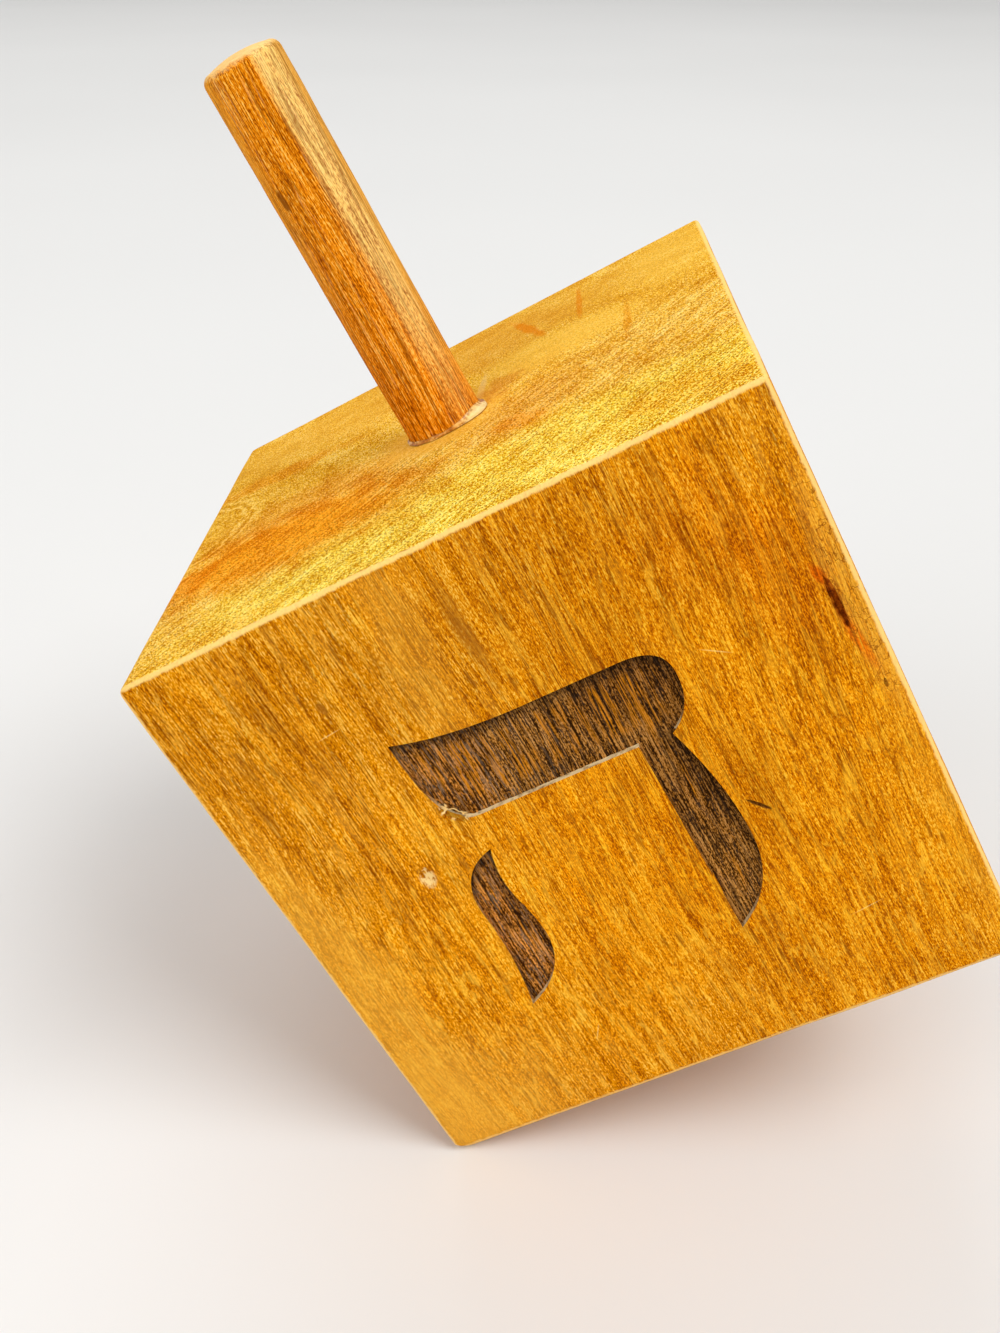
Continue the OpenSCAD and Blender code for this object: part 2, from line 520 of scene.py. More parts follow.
def makeGlue():
    glue = lathe("driedGlue", glueSection(), glueShape["turns"])
    for vertex in glue.data.vertices:
        radius = math.hypot(vertex.co.x, vertex.co.y)
        if radius < handleR - slack or vertex.co.z < topZ - slack:
            continue
        turn = math.degrees(math.atan2(vertex.co.y, vertex.co.x))
        off = (turn - glueShape["blobTurn"] + 180) % 360 - 180
        ran = math.exp(-(off / glueShape["blobSpread"]) ** 2)
        waves = glueShape["rippleScale"]
        ripple = noise.noise((vertex.co.x * waves, vertex.co.y * waves, glueShape["rippleSeed"]))
        spread = 1 + (glueShape["blob"] * ran + glueShape["ripple"] * ripple) / glueShape["thin"]
        if vertex.co.z > footZ + slack:
            lift = glueShape["low"] + (1 - glueShape["low"]) * ran
            lift += glueShape["rippleLift"] * ripple * (1 - ran)
            vertex.co.z = footZ + (vertex.co.z - footZ) * lift
        newRadius = handleR + (radius - handleR) * spread
        vertex.co.x *= newRadius / radius
        vertex.co.y *= newRadius / radius
    layDown(glue, glueShape["smooth"])
    return glue


glue = makeGlue()
print("glue:", len(glue.data.polygons), "faces")


# one shader socket, so that the maths of a finish reads as plain sums
class Wire:
    def __init__(self, tree, socket=None):
        self.tree = tree
        self.socket = socket

    def add(self, kind, settings=None, sockets=None, out=0):
        node = self.tree.nodes.new("ShaderNode" + kind)
        for name, value in (settings or {}).items():
            if name == "stops":
                ramp = node.color_ramp
                while len(ramp.elements) < len(value):
                    ramp.elements.new(0.5)
                for element, (place, colour) in zip(ramp.elements, value):
                    element.position = place
                    element.color = (*colour, 1)
            else:
                setattr(node, name, value)
        for name, value in (sockets or {}).items():
            if isinstance(value, Wire):
                self.tree.links.new(value.socket, node.inputs[name])
            else:
                node.inputs[name].default_value = value
        return Wire(self.tree, node.outputs[out] if node.outputs else None)

    def sum(self, operation, *values):
        return self.add("Math", {"operation": operation}, dict(enumerate(values)))

    def __add__(self, other):
        return self.sum("ADD", self, other)

    def __sub__(self, other):
        return self.sum("SUBTRACT", self, other)

    def __rsub__(self, other):
        return self.sum("SUBTRACT", other, self)

    def __mul__(self, other):
        return self.sum("MULTIPLY", self, other)

    def __truediv__(self, other):
        return self.sum("DIVIDE", self, other)

    def __pow__(self, other):
        return self.sum("POWER", self, other)

    def __abs__(self):
        return self.sum("ABSOLUTE", self)

    __radd__ = __add__
    __rmul__ = __mul__

    def least(self, other):
        return self.sum("MINIMUM", self, other)

    def most(self, other):
        return self.sum("MAXIMUM", self, other)

    # 0 below low and 1 above high, or the other way round where low is the larger
    def ease(self, low, high):
        span = {"Value": self, "From Min": min(low, high), "From Max": max(low, high)}
        span.update({"To Min": 0.0 if low < high else 1.0, "To Max": 1.0 if low < high else 0.0})
        return self.add("MapRange", {"interpolation_type": "SMOOTHSTEP"}, span)

    def times(self, vector):
        return self.add("VectorMath", {"operation": "MULTIPLY"}, {0: self, 1: vector})

    def plus(self, vector):
        return self.add("VectorMath", {"operation": "ADD"}, {0: self, 1: vector})

    def noise(self, size, detail=2.0, rough=0.5, twist=0.0):
        scaled = self.times(tuple(1 / s for s in size))
        values = {"Vector": scaled, "Scale": 1.0, "Detail": detail, "Roughness": rough, "Distortion": twist}
        return self.add("TexNoise", {"noise_dimensions": "3D"}, values)

    # a noise as a swing of this strength round 0
    def swing(self, strength):
        return (self - 0.5) * strength

    # noise along a line, on which this value is the place
    def waves(self, detail):
        return self.add("TexNoise", {"noise_dimensions": "1D"}, {"W": self, "Scale": 1.0, "Detail": detail})

    # thin wandering lines, where the noise passes a level
    def lines(self, size, level, width):
        return abs(self.noise(size, 1.0) - level).ease(width, 0.0)

    def cells(self, size):
        scaled = self.times(tuple(1 / s for s in size))
        return self.add("TexVoronoi", None, {"Vector": scaled, "Scale": 1.0})

    # sockets 0, 6 and 7 of a Mix node are its factor and its two colours, and 2 is the mixed colour
    def tint(self, colour, amount, blend="MIX"):
        settings = {"data_type": "RGBA", "blend_type": blend}
        return self.add("Mix", settings, {0: amount, 6: self, 7: colour}, out=2)

    def ramp(self, stops):
        return self.add("ValToRGB", {"stops": stops}, {"Fac": self})

    def parts(self):
        node = self.add("SeparateXYZ", None, {"Vector": self}).socket.node
        return [Wire(self.tree, output) for output in node.outputs]


def newFinish(name):
    material = bpy.data.materials.new(name)
    material.use_nodes = True
    material.node_tree.nodes.clear()
    return material, Wire(material.node_tree)


# millimetres in the upright frame of the top, whose tip is the origin
def uprightPlace(wire):
    place = wire.add("TexCoord", out="Object")
    return wire.add("Mapping", None, {"Vector": place, "Rotation": (0, lean, 0), "Scale": (1000, 1000, 1000)})


def shade(wire, sockets):
    surface = wire.add("BsdfPrincipled", None, sockets)
    wire.add("OutputMaterial", None, {"Surface": surface})


halfMm = halfW * 1000
topMm = topZ * 1000
midMm = midZ * 1000

satin = {"Specular IOR Level": 0.0, "Coat Roughness": 0.3}  # the sheen comes from a thin coat alone
woodBump = {"Strength": 0.30, "Distance": 0.00012}

blockLook = {
    "rayTurn": 40.0,              # degrees, the way the rays run across the top
    "ringWidth": 7.0,
    "ringWander": 22.0,
    "sideStops": [(0.00, (0.30, 0.070, 0.000)), (0.22, (0.50, 0.145, 0.000)), (0.50, (0.70, 0.243, 0.001)),
                  (0.78, (0.87, 0.360, 0.006)), (1.00, (0.98, 0.570, 0.100))],
    "endStops": [(0.00, (0.46, 0.120, 0.001)), (0.22, (0.68, 0.260, 0.003)), (0.50, (0.88, 0.465, 0.013)),
                 (0.78, (0.98, 0.625, 0.056)), (1.00, (1.00, 0.760, 0.270))],
    "vessel": (0.19, 0.038, 0.000, 1),
    "endPore": (0.24, 0.070, 0.002, 1),
    "haze": (0.80, 0.390, 0.040, 1),
    "umber": (0.36, 0.125, 0.008, 1),
    "dull": (0.44, 0.180, 0.015, 1),
    "glint": (0.98, 0.540, 0.060, 1),
    "amber": (0.76, 0.200, 0.001, 1),
    "straw": (0.93, 0.540, 0.070, 1),
    "tan": (0.78, 0.390, 0.045, 1),
    "puddle": (0.87, 0.450, 0.045, 1),
    "flameWash": (0.98, 0.52, 0.12, 1),
    "gleam": (1.00, 0.750, 0.240, 1),
    "amberWash": (0.96, 0.62, 0.15, 1),
    "rustWash": (0.95, 0.74, 0.40, 1),
    "lemonWash": (1.03, 1.24, 1.00, 1),
    "tanWash": (0.88, 0.72, 0.60, 1),
    "umberWash": (0.78, 0.72, 0.60, 1),
    "blazeWash": (1.06, 1.02, 0.50, 1),
    "honeyWash": (1.00, 0.90, 0.22, 1),
    "bark": (0.030, 0.008, 0.003, 1),
    "barkStops": [(0.30, (0.110, 0.016, 0.001)), (0.50, (0.280, 0.050, 0.002)),
                  (0.72, (0.560, 0.150, 0.006))],
    "bare": (0.90, 0.62, 0.24, 1),
    "worn": (0.96, 0.63, 0.20, 1),
    "stainStops": [(0.22, (0.030, 0.011, 0.002)), (0.42, (0.150, 0.054, 0.007)),
                   (0.62, (0.350, 0.136, 0.018)), (0.82, (0.560, 0.260, 0.060))],
    "dust": (0.330, 0.235, 0.150, 1),
    # near black: for scored lines and the flake, and for painted shade at the letters' rims
    "sootAndPaintedShade": (0.012, 0.006, 0.004, 1),
    "liftWash": (1.40, 1.20, 0.95, 1),
    "sinkWash": (0.72, 0.66, 0.60, 1),
    # pale bare wood, laid on the letters' walls only where they face the light, as painted light
    "wall": (0.84, 0.66, 0.36, 1),
    "ember": (0.60, 0.200, 0.002, 1),
}

# the noises of the block's wood: size in millimetres along each axis, detail, roughness and twist
blockGrain = {
    "sway": ((34, 34, 60), 1.0),
    "fibre": ((0.40, 0.40, 16), 4.0, 0.65),
    "short": ((0.34, 0.34, 1.8), 3.0, 0.6, 0.5),
    "thread": ((0.17, 0.17, 7), 2.0, 0.65),
    "figure": ((1.5, 1.5, 10), 3.0, 0.55),
    "broad": ((8, 8, 42), 2.0),
    "cloud": ((4, 4, 9), 3.0, 0.6),
    "fuzz": ((0.13, 0.13, 0.36), 1.0),
    "fray": ((0.8, 0.8, 0.8), 3.0),
    "longGroup": ((2.4, 2.4, 16), 1.0),
    "shortGroup": ((1.3, 1.3, 9), 1.0),
    "curl": ((0.9, 0.9, 3.2), 3.0, 0.6, 1.2),
    "haze": ((1.1, 1.1, 8), 2.0),
    "dull": ((1.3, 1.3, 7), 2.0, 0.5, 0.3),
    "squiggle": ((1.1, 1.1, 1.6), 2.0),
    "ray": ((9, 0.42, 40), 3.0, 0.6),
    "wander": ((30, 30, 140), 2.0),
    "speckle": ((0.24, 0.24, 9), 2.0),
    "streak": ((6, 0.26, 40), 2.0, 0.55),
    "run": ((1.6, 1.6, 5), 2.0),
    "groove": ((0.21, 0.21, 5), 2.0, 0.55),
    "grit": ((0.22, 0.22, 0.4), 2.0, 0.6),
    "dust": ((0.20, 0.20, 2.4), 1.0),
    "crack": ((2.0, 2.0, 2.0), 2.0),
}
# the sizes of its hairlines and pores, in the same way
blockLines = {"longHair": (0.75, 0.75, 16), "shortHair": (0.42, 0.42, 9), "score": (0.30, 0.30, 11)}
blockPores = {"vessel": (0.52, 0.52, 4.2), "largeVessel": (1.5, 1.5, 11), "dot": (0.42, 0.42, 40)}


# 1 in the middle of an oval mark on a side or the top, and 0 outside it
def oval(x, y, mark, softness, ragged):
    turn = math.radians(mark["turn"])
    dx = x - mark["place"][0]
    dy = y - mark["place"][1]
    along = dy * math.cos(turn) + dx * math.sin(turn)
    across = dx * math.cos(turn) - dy * math.sin(turn)
    reach = ((across / mark["half"][0]) ** 2 + (along / mark["half"][1]) ** 2) ** 0.5
    return (reach + ragged).ease(1 + softness, 1 - softness)


# tinted patches, in millimetres from the middle of the top or the front:
# a wash changes the tone of the wood, a plain colour covers it
topPatches = [
    {"colour": "tan", "strength": 0.50, "place": (-4, 27), "half": (36, 11), "turn": 0},
    {"colour": "tanWash", "strength": 0.40, "place": (2, 26), "half": (13, 11), "turn": 0},
    {"colour": "straw", "strength": 0.62, "place": (15, 10), "half": (11, 6), "turn": 4},
    {"colour": "straw", "strength": 0.45, "place": (33, 26), "half": (6, 14), "turn": 0},
    {"colour": "amberWash", "strength": 0.55, "place": (-28, 15), "half": (10, 2.4), "turn": 6},
    {"colour": "amberWash", "strength": 1.05, "place": (-21, -15), "half": (17, 8.5), "turn": 8},
    {"colour": "amberWash", "strength": 0.45, "place": (31, -31), "half": (7, 4), "turn": 20},
    {"colour": "amberWash", "strength": 0.35, "place": (-5, -24), "half": (5, 3.5), "turn": 10},
    {"colour": "amberWash", "strength": 0.30, "place": (-24, -35), "half": (8, 2), "turn": 0},
    {"colour": "rustWash", "strength": 0.80, "place": (-36, -13), "half": (5, 4), "turn": 0},
    {"colour": "tanWash", "strength": 0.80, "place": (-20, -3), "half": (14, 5), "turn": 4},
    {"colour": "lemonWash", "strength": 0.90, "place": (10, -30), "half": (40, 11), "turn": -4},
    {"colour": "tanWash", "strength": 0.80, "place": (11, -10), "half": (6, 8), "turn": 30},
    {"colour": "amberWash", "strength": 0.60, "place": (11, -14), "half": (4.5, 2.2), "turn": 35},
    {"colour": "amber", "strength": 0.70, "place": (11.1, 24.9), "half": (0.75, 7.6), "turn": -20},
    {"colour": "amber", "strength": 0.60, "place": (19.0, 25.3), "half": (0.40, 7.0), "turn": 0},
    {"colour": "bare", "strength": 0.50, "place": (4.8, 7.2), "half": (0.50, 5.5), "turn": 3},
    {"colour": "rustWash", "strength": 0.90, "place": (25.3, 5.0), "half": (0.55, 7.0), "turn": 2},
]
frontPatches = [
    {"colour": "umberWash", "strength": 0.45, "place": (-22, 30), "half": (17, 14), "turn": 0},
    {"colour": "umberWash", "strength": 0.50, "place": (10, 26), "half": (16, 12), "turn": 0},
    {"colour": "haze", "strength": 0.25, "place": (-7, 28), "half": (2.8, 13), "turn": 4},
    {"colour": "blazeWash", "strength": 0.70, "place": (-11, -12), "half": (22, 19), "turn": 0},
    {"colour": "rustWash", "strength": 0.45, "place": (25.5, 27), "half": (6, 7), "turn": 0},
    {"colour": "rustWash", "strength": 0.50, "place": (31.2, 19), "half": (4, 8), "turn": 0},
    {"colour": "umberWash", "strength": 0.80, "place": (19, -4), "half": (2.8, 7), "turn": 0},
    {"colour": "haze", "strength": 0.50, "place": (-37, -16), "half": (6.5, 26), "turn": -2},
    {"colour": "haze", "strength": 0.40, "place": (-31, -34), "half": (11, 11), "turn": 0},
    {"colour": "haze", "strength": 0.20, "place": (38, -14), "half": (3.4, 22), "turn": 0},
    {"colour": "honeyWash", "strength": 0.80, "place": (20, -2), "half": (24, 42), "turn": 0},
    {"colour": "umber", "strength": 0.60, "place": (-0.8, 27.5), "half": (0.9, 5.5), "turn": 0},
]
scratches = [
    {"place": (21.5, 13.7), "half": (0.07, 1.4), "turn": -57},
    {"place": (-20.0, 23.2), "half": (0.06, 1.3), "turn": 84},
    {"place": (23.5, -24.6), "half": (0.06, 1.5), "turn": 82},
    {"place": (-12.6, -28.0), "half": (0.06, 1.1), "turn": 30},
]
# arcs in the figure at the left of the top
swirl = {"place": (-42.0, 3.0), "stretch": 1.1, "reach": 24.0, "width": 1.1, "wander": 7}
stainPatches = [
    {"colour": "liftWash", "strength": 1.0, "place": (-14.4, -9.0), "half": (4.5, 12.0), "turn": 0},
    {"colour": "liftWash", "strength": 0.6, "place": (-11.5, 12.0), "half": (5.0, 6.0), "turn": 0},
    {"colour": "sinkWash", "strength": 1.0, "place": (11.5, 14.0), "half": (7.0, 5.0), "turn": 0},
    {"colour": "sinkWash", "strength": 0.6, "place": (12.5, 0.0), "half": (4.5, 9.0), "turn": 0},
]
driedRun = {"place": (7.6, 4.6), "half": (2.3, 4.4), "turn": 14}
edgeTan = {"place": (36.9, 14.0), "half": (2.1, 15.0), "turn": 0}
pocketGlow = {"place": (35.3, 7.9), "half": (0.60, 3.2), "turn": -9}
pocketLip = {"place": (34.3, 17.0), "half": (0.55, 1.3), "turn": -14}


def blendOf(patch):
    return "MULTIPLY" if patch["colour"].endswith("Wash") else "MIX"


def blockFinish():
    material, wire = newFinish("goldenBlockWood")
    place = uprightPlace(wire)
    x, y, z = place.parts()
    upFace = z - midMm

    # how far a point lies inside each pair of sides, the top and the slopes of the point
    sideX = halfMm - abs(x)
    sideY = halfMm - abs(y)
    below = topMm - z
    slopeX = z * math.cos(lean) - abs(x) * math.sin(lean)
    slopeY = z * math.cos(lean) - abs(y) * math.sin(lean)
    inside = sideX.least(sideY)
    edgeGap = sideX.most(sideY).least(inside.most(below)).least(sideX.most(slopeX))
    edgeGap = edgeGap.least(sideY.most(slopeY)).least(slopeX.most(slopeY))
    topFace = below.ease(0.75, 0.25)
    front = (y + halfMm).ease(2.0, 1.0)

    # grain that wanders a little on its way up the block
    sway = place.noise(*blockGrain["sway"])
    swayed = place.plus(wire.add("CombineXYZ", None, {"X": sway.swing(6), "Y": sway.swing(5)}))
    fibre = swayed.noise(*blockGrain["fibre"])
    short = swayed.noise(*blockGrain["short"])
    thread = swayed.noise(*blockGrain["thread"])
    figure = swayed.noise(*blockGrain["figure"])
    broad = swayed.noise(*blockGrain["broad"])
    cloud = place.noise(*blockGrain["cloud"])
    fuzz = place.noise(*blockGrain["fuzz"])
    fray = place.noise(*blockGrain["fray"])

    # dark hairlines, with a light one beside each
    longGroup = swayed.noise(*blockGrain["longGroup"]).ease(0.40, 0.60)
    shortGroup = swayed.noise(*blockGrain["shortGroup"]).ease(0.50, 0.60)
    darkLine = swayed.lines(blockLines["longHair"], 0.50, 0.038) * longGroup
    darkLine = darkLine.most(swayed.lines(blockLines["shortHair"], 0.50, 0.055) * shortGroup)
    lightLine = swayed.lines(blockLines["longHair"], 0.57, 0.040) * longGroup
    lightLine = lightLine.most(swayed.lines(blockLines["shortHair"], 0.59, 0.060) * shortGroup)
    curl = swayed.noise(*blockGrain["curl"])

    # rays and growth rings, as the top shows them
    rayTurn = (0, 0, -math.radians(blockLook["rayTurn"]))
    turned = place.add("Mapping", None, {"Vector": place, "Rotation": rayTurn})
    ray = turned.noise(*blockGrain["ray"])
    along = turned.parts()[0]
    wander = place.noise(*blockGrain["wander"])
    rings = ((along + wander * blockLook["ringWander"]) / blockLook["ringWidth"]).waves(2.0)

    # vessels: dashes on the sides and dots on the top
    vessel = swayed.cells(blockPores["vessel"]).ease(0.24, 0.11) * figure.ease(0.66, 0.40)
    largeVessel = swayed.cells(blockPores["largeVessel"]).ease(0.17, 0.08)
    dot = place.cells(blockPores["dot"]).ease(0.36, 0.14) * cloud.ease(0.25, 0.50)

    tone = 0.47 + fibre.swing(1.0) + short.swing(0.35) + thread.swing(1.7) + figure.swing(0.5)
    tone = tone + fuzz.swing(2.1) + broad.swing(0.55) + rings.swing(0.30)
    side = tone.ramp(blockLook["sideStops"])
    side = side.tint(blockLook["blazeWash"], figure.ease(0.52, 0.64) * 0.8, "MULTIPLY")
    side = side.tint(blockLook["haze"], swayed.noise(*blockGrain["haze"]).ease(0.54, 0.70) * 0.30)
    side = side.tint(blockLook["dull"], swayed.noise(*blockGrain["dull"]).ease(0.56, 0.72) * 0.28)
    side = side.tint(blockLook["glint"], curl.ease(0.55, 0.66) * (0.12 + upFace.ease(16.0, -14.0) * 0.36))
    side = side.tint(blockLook["glint"], lightLine * 0.50)
    darkLine = darkLine * (0.40 + upFace.ease(-22.0, 4.0) * 0.6)
    side = side.tint(blockLook["vessel"], (vessel * 0.45).most(largeVessel * 0.60).most(darkLine * 0.52))

    # the front's own patches
    ragged = cloud.swing(1.3)
    for patch in frontPatches:
        spread = oval(x, upFace, patch, 0.6, ragged) * front * (0.6 + fibre * 0.8)
        side = side.tint(blockLook[patch["colour"]], spread * patch["strength"], blendOf(patch))
    for scratch in scratches:
        side = side.tint(blockLook["gleam"], oval(x, upFace, scratch, 0.6, 0.0) * front * 0.45)
    pale = oval(x, upFace, edgeTan, 0.35, ragged * 0.6) * front
    side = side.tint(blockLook["haze"], pale * (0.15 + thread.ease(0.36, 0.64) * 0.45))
    squiggle = abs(place.noise(*blockGrain["squiggle"]) - 0.5).ease(0.022, 0.004)
    side = side.tint(blockLook["vessel"], squiggle * pale * 0.7)
    glow = oval(x, upFace, pocketGlow, 0.6, ragged * 0.8).most(oval(x, upFace, pocketLip, 0.5, ragged * 0.6))
    side = side.tint(blockLook["flameWash"], glow * front * thread.ease(0.30, 0.52), "MULTIPLY")

    # the top, whose figure is clearest near the front
    speckle = place.noise(*blockGrain["speckle"])
    near = (y - x * 0.15).ease(8.0, -10.0)
    endTone = 0.45 + ray.swing(0.6 + near * 1.1) + rings.swing(0.6) + cloud.swing(0.9)
    endTone = endTone + speckle.swing(2.7) + fuzz.swing(2.5)
    fromSwirl = ((x - swirl["place"][0]) ** 2 + ((y - swirl["place"][1]) * swirl["stretch"]) ** 2) ** 0.5
    arcs = ((fromSwirl + cloud * swirl["wander"]) / swirl["width"]).waves(1.0)
    endTone = endTone + arcs.swing(fromSwirl.ease(swirl["reach"], swirl["reach"] / 2)) * 0.8
    end = endTone.ramp(blockLook["endStops"])
    streak = turned.noise(*blockGrain["streak"]).ease(0.56, 0.66) * near * cloud.ease(0.40, 0.55)
    fleck = speckle.ease(0.53, 0.64) * near * 0.45
    end = end.tint(blockLook["gleam"], (streak * 0.65).most(fleck))
    for patch in topPatches:
        spread = oval(x, y, patch, 0.45, ragged) * (0.55 + (0.5 - ray) * 1.2 + cloud * 0.9)
        end = end.tint(blockLook[patch["colour"]], spread.least(1.0) * patch["strength"], blendOf(patch))
    fromAxis = (x ** 2 + y ** 2) ** 0.5
    puddle = (fromAxis + cloud * 9).ease(15.0, 11.0) * topFace
    end = end.tint(blockLook["puddle"], puddle * 0.55)
    run = oval(x, y, driedRun, 0.5, place.noise(*blockGrain["run"]).swing(3))
    end = end.tint(blockLook["tanWash"], run, "MULTIPLY")
    end = end.tint(blockLook["endPore"], dot * (1 - puddle) * (0.40 + near * 0.6))
    colour = side.tint(end, topFace)

    # edges rubbed pale by sanding
    worn = (edgeGap + fray.swing(0.55)).ease(0.74, 0.42) * (0.6 + fray * 0.6)
    colour = colour.tint(blockLook["worn"], worn)

    # flaws of the front
    flaw = {name: oval(x, upFace, markShape[name], 0.25, fray.swing(0.6)) * front for name in markNames}
    splinter = 0.5 + fray.swing(2.2) + thread.swing(1.2) - (upFace - markShape["chip"]["place"][1]) * 0.16
    colour = colour.tint(blockLook["umber"], flaw["chip"] * 0.35)
    colour = colour.tint(blockLook["bare"], flaw["chip"] * splinter.ease(0.30, 0.62))
    colour = colour.tint(blockLook["umber"], flaw["dent"] * 0.6)
    colour = colour.tint(blockLook["bark"], flaw["gouge"].most(flaw["pit"] * 0.6) * 0.8)
    crust = (0.5 + fray.swing(1.4) + fibre.swing(1.0)).ramp(blockLook["barkStops"])
    colour = colour.tint(crust, flaw["pocket"])

    # the stained letters: streaked floors, painted shade as dark rims where the walls face away from the
    # light, and walls painted pale, as bare wood and painted light, where they face up towards it
    rimGap = wire.add("Attribute", {"attribute_name": "rimGap"}, None, "Fac")
    wallLit = wire.add("Attribute", {"attribute_name": "wallLit"}, None, "Fac")
    carved = wire.add("Attribute", {"attribute_name": "carved"}, None, "Fac")
    sunk = carved.ease(0.6, 0.9)
    wall = carved.ease(0.2, 0.4)
    groove = swayed.noise(*blockGrain["groove"])
    grit = place.noise(*blockGrain["grit"])
    streaky = 0.50 + groove.swing(2.3) + fuzz.swing(1.8) + grit.swing(0.7) + cloud.swing(0.5)
    stain = streaky.ramp(blockLook["stainStops"])
    for patch in stainPatches:
        spread = oval(x, upFace, patch, 0.6, ragged * 0.4) * front
        stain = stain.tint(blockLook[patch["colour"]], spread * patch["strength"], blendOf(patch))
    ember = figure.ease(0.46, 0.58) * groove.ease(0.42, 0.56) * rimGap.ease(1.2, 2.4)
    stain = stain.tint(blockLook["ember"], ember * 0.7)
    dust = swayed.noise(*blockGrain["dust"]).ease(0.50, 0.62) * (0.08 + x.ease(8.0, -14.0) * 0.30)
    stain = stain.tint(blockLook["dust"], dust)
    score = swayed.lines(blockLines["score"], 0.50, 0.075) * cloud.ease(0.30, 0.50)
    stain = stain.tint(blockLook["sootAndPaintedShade"], score * 0.70)
    # painted shade: near the outline, where the walls face away from the light, a dark band and a dark line
    shadowed = wallLit.ease(0.2, -0.5)
    paintedRimShade = (rimGap + fray.swing(1.6) + cloud.swing(3.0)).ease(2.4, 0.3)
    stain = stain.tint(blockLook["sootAndPaintedShade"], paintedRimShade * shadowed * 0.5)
    paintedRimShadowLine = (rimGap + fray.swing(0.35)).ease(0.34, 0.14)
    stain = stain.tint(blockLook["sootAndPaintedShade"], paintedRimShadowLine * shadowed * 0.95)
    # painted light: walls that face the light are tinted pale, in patches
    paintedWallLight = wallLit.ease(0.35, 0.75) * (0.35 + fray).ease(0.55, 0.95)
    wallColour = stain.tint(blockLook["wall"], paintedWallLight * 0.9)
    colour = colour.tint(wallColour, wall).tint(stain, sunk)
    crack = abs(place.noise(*blockGrain["crack"]) - 0.5).ease(0.045, 0.015) * flaw["flake"]
    colour = colour.tint(blockLook["sootAndPaintedShade"], flaw["flake"] * 0.5).tint(blockLook["bare"], crack)

    height = fibre * 0.5 + thread * 0.3 - vessel.most(largeVessel) * 0.8 - dot * topFace * 0.8
    bump = wire.add("Bump", None, {"Height": height, **woodBump})
    rough = 0.55 + fibre.swing(0.3) + sunk * 0.3 + vessel * 0.15
    coat = (0.04 + fibre.swing(0.08)) * (1 - topFace * 0.6) * (1 - sunk * 0.8) + puddle * 0.06
    shade(wire, {"Base Color": colour, "Roughness": rough, "Coat Weight": coat, "Normal": bump, **satin})
    return material


handleLook = {
    "stops": [(0.00, (0.24, 0.048, 0.000)), (0.25, (0.52, 0.126, 0.000)), (0.50, (0.79, 0.238, 0.002)),
              (0.75, (0.92, 0.350, 0.014)), (1.00, (1.00, 0.560, 0.110))],
    "paleStops": [(0.10, (0.42, 0.160, 0.035)), (0.35, (0.75, 0.390, 0.105)), (0.60, (0.95, 0.600, 0.155)),
                  (0.90, (0.98, 0.680, 0.220))],
    # painted rim light along the handle's edges
    "golden": (0.78, 0.350, 0.035, 1),
    "pore": (0.20, 0.050, 0.001, 1),
    "worn": (0.97, 0.66, 0.27, 1),
    "facing": 13.0,              # degrees round from the front, where the seam of the two tones is measured
    "seam": (0.2, 2.3),
    "knot": {"place": (-2.7, 32.2), "half": (0.42, 1.25), "turn": -4},
}

# the noises, hairlines and pores of the handle's wood, given as the block's are
handleGrain = {
    "sway": ((12, 12, 40), 1.0),
    "fibre": ((0.34, 0.34, 16), 3.0, 0.6),
    "thread": ((0.13, 0.13, 14), 2.0, 0.6),
    "band": ((1.5, 1.5, 40), 2.0),
    "fuzz": ((0.12, 0.12, 0.5), 1.0),
    "short": ((0.24, 0.24, 1.6), 2.0, 0.6, 0.3),
    "paleStreak": ((0.5, 0.5, 14), 2.0),
    "longGroup": ((1, 1, 16), 1.0),
    "shortGroup": ((0.9, 0.9, 11), 1.0),
    "veinGroup": ((1.2, 1.2, 14), 1.0),
    "fray": ((0.7, 0.7, 0.7), 3.0),
}
handleLines = {"longHair": (0.60, 0.60, 30), "shortHair": (0.36, 0.36, 18), "vein": (0.50, 0.50, 24)}
handlePore = (0.42, 0.42, 6)


